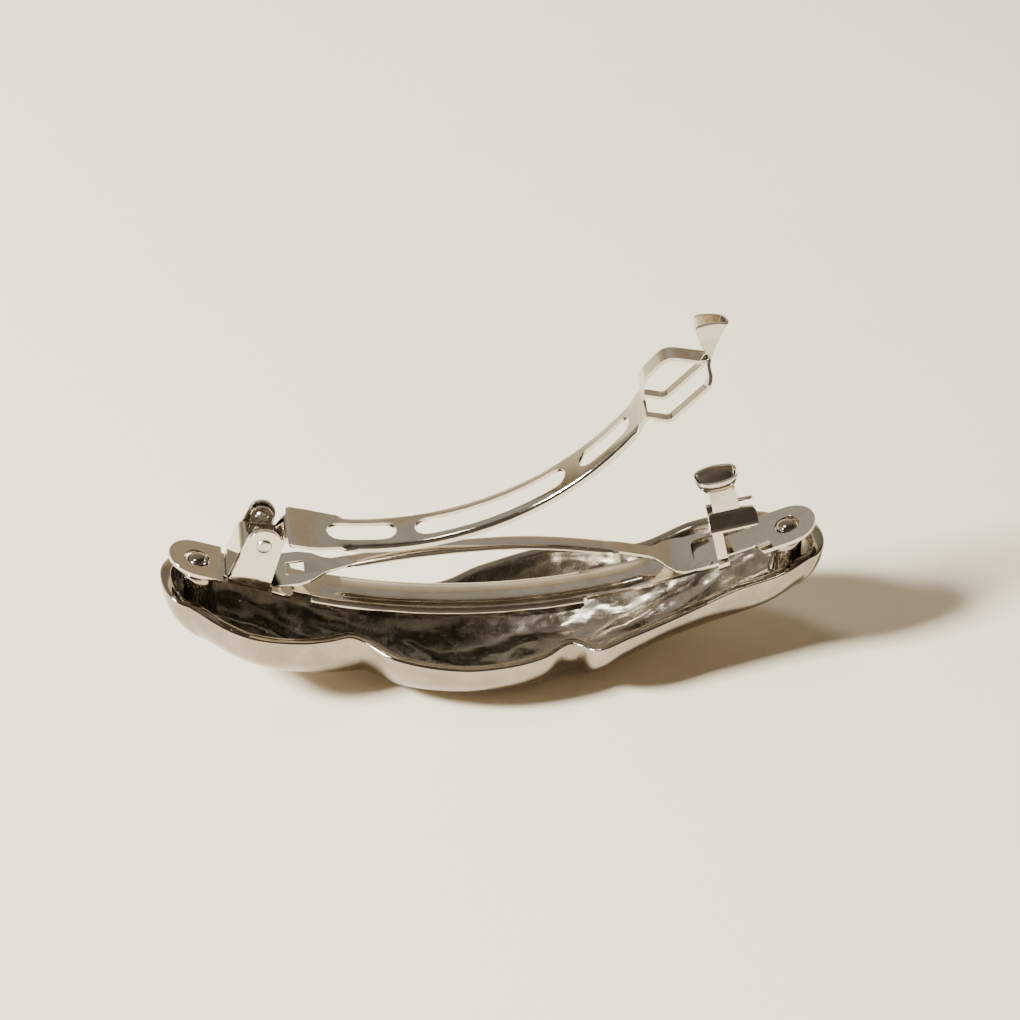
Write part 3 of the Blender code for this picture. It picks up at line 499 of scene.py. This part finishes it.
bm = bmesh.new()
bmesh.ops.create_grid(bm, x_segments=24, y_segments=24, size=1.5)
for v in bm.verts:
    far = max(v.co.y - 0.55, 0.0)
    v.co.z = 1.1 * far * far
mesh = bpy.data.meshes.new("paper_sweep")
bm.to_mesh(mesh)
bm.free()
mesh.materials.append(floor_material())
mesh.shade_smooth()
floor = bpy.data.objects.new("paper_sweep", mesh)
bpy.context.scene.collection.objects.link(floor)


def area_light(name, at, size, power, colour, aim=(0, 0, 0.01)):
    light = bpy.data.lights.new(name, "AREA")
    light.shape = "RECTANGLE"
    light.size, light.size_y = size
    light.energy = power
    light.color = colour
    lamp = bpy.data.objects.new(name, light)
    lamp.location = at
    lamp.rotation_mode = "QUATERNION"
    lamp.rotation_quaternion = (Vector(aim) - Vector(at)).to_track_quat("-Z", "Y")
    bpy.context.scene.collection.objects.link(lamp)
    return lamp


area_light("key_window", (-0.64, -0.19, 0.56), (0.17, 0.15), 32.0, (1.0, 0.962, 0.895))
area_light("overhead_card", (-0.35, 0.25, 1.3), (0.25, 0.25), 4.0, (1.0, 0.94, 0.84))

# The room: a cream wall behind and to the left, a dark room over and behind the camera.
world = bpy.data.worlds.new("cream_room")
bpy.context.scene.world = world
world.use_nodes = True
tree = world.node_tree
tree.nodes.clear()
out = tree.nodes.new("ShaderNodeOutputWorld")
back = tree.nodes.new("ShaderNodeBackground")
coord = tree.nodes.new("ShaderNodeTexCoord")
toward = tree.nodes.new("ShaderNodeVectorMath")
toward.operation = "DOT_PRODUCT"
toward.inputs[1].default_value = (-0.42, 0.88, -0.18)
tree.links.new(coord.outputs["Generated"], toward.inputs[0])
span = tree.nodes.new("ShaderNodeMapRange")
span.inputs["From Min"].default_value = -1.0
span.inputs["From Max"].default_value = 1.0
tree.links.new(toward.outputs["Value"], span.inputs["Value"])
ramp = tree.nodes.new("ShaderNodeValToRGB")
ramp.color_ramp.elements[0].position = 0.0
ramp.color_ramp.elements[0].color = (0.24, 0.20, 0.155, 1)
ramp.color_ramp.elements[1].position = 1.0
ramp.color_ramp.elements[1].color = (0.62, 0.57, 0.48, 1)
stops = ((0.28, (0.085, 0.068, 0.05, 1)), (0.47, (0.115, 0.092, 0.07, 1)), (0.66, (0.40, 0.36, 0.295, 1)))
for at, colour in stops:
    e = ramp.color_ramp.elements.new(at)
    e.color = colour
tree.links.new(span.outputs["Result"], ramp.inputs["Fac"])
tree.links.new(ramp.outputs["Color"], back.inputs["Color"])
back.inputs["Strength"].default_value = 1.0
tree.links.new(back.outputs["Background"], out.inputs["Surface"])

# The camera stands where the picture was taken: nearly square to the length, looking down 37 degrees.
AZIMUTH = math.radians(-5.5)
ELEVATION = math.radians(37.0)
DISTANCE = 0.48
TILT = math.radians(1.22921)  # the object sits a little below the middle of the picture
PAN = math.radians(-0.22872)
LENS = 141.459
SENSOR = 36
target = Vector((0, 0, 0.0098))
level = math.cos(ELEVATION)
back_dir = Vector((math.sin(AZIMUTH) * level, -math.cos(AZIMUTH) * level, math.sin(ELEVATION)))
right = Vector((math.cos(AZIMUTH), math.sin(AZIMUTH), 0))
place = Matrix((right, back_dir.cross(right), back_dir)).transposed().to_4x4()
place.translation = target + back_dir * DISTANCE
place = place @ Matrix.Rotation(TILT, 4, "X")
place = place @ Matrix.Rotation(PAN, 4, "Y")
lens = bpy.data.cameras.new("camera")
lens.lens = LENS
lens.sensor_width = SENSOR
lens.clip_start = 0.01
lens.clip_end = 10
camera = bpy.data.objects.new("camera", lens)
camera.matrix_world = place
bpy.context.scene.collection.objects.link(camera)
bpy.context.scene.camera = camera
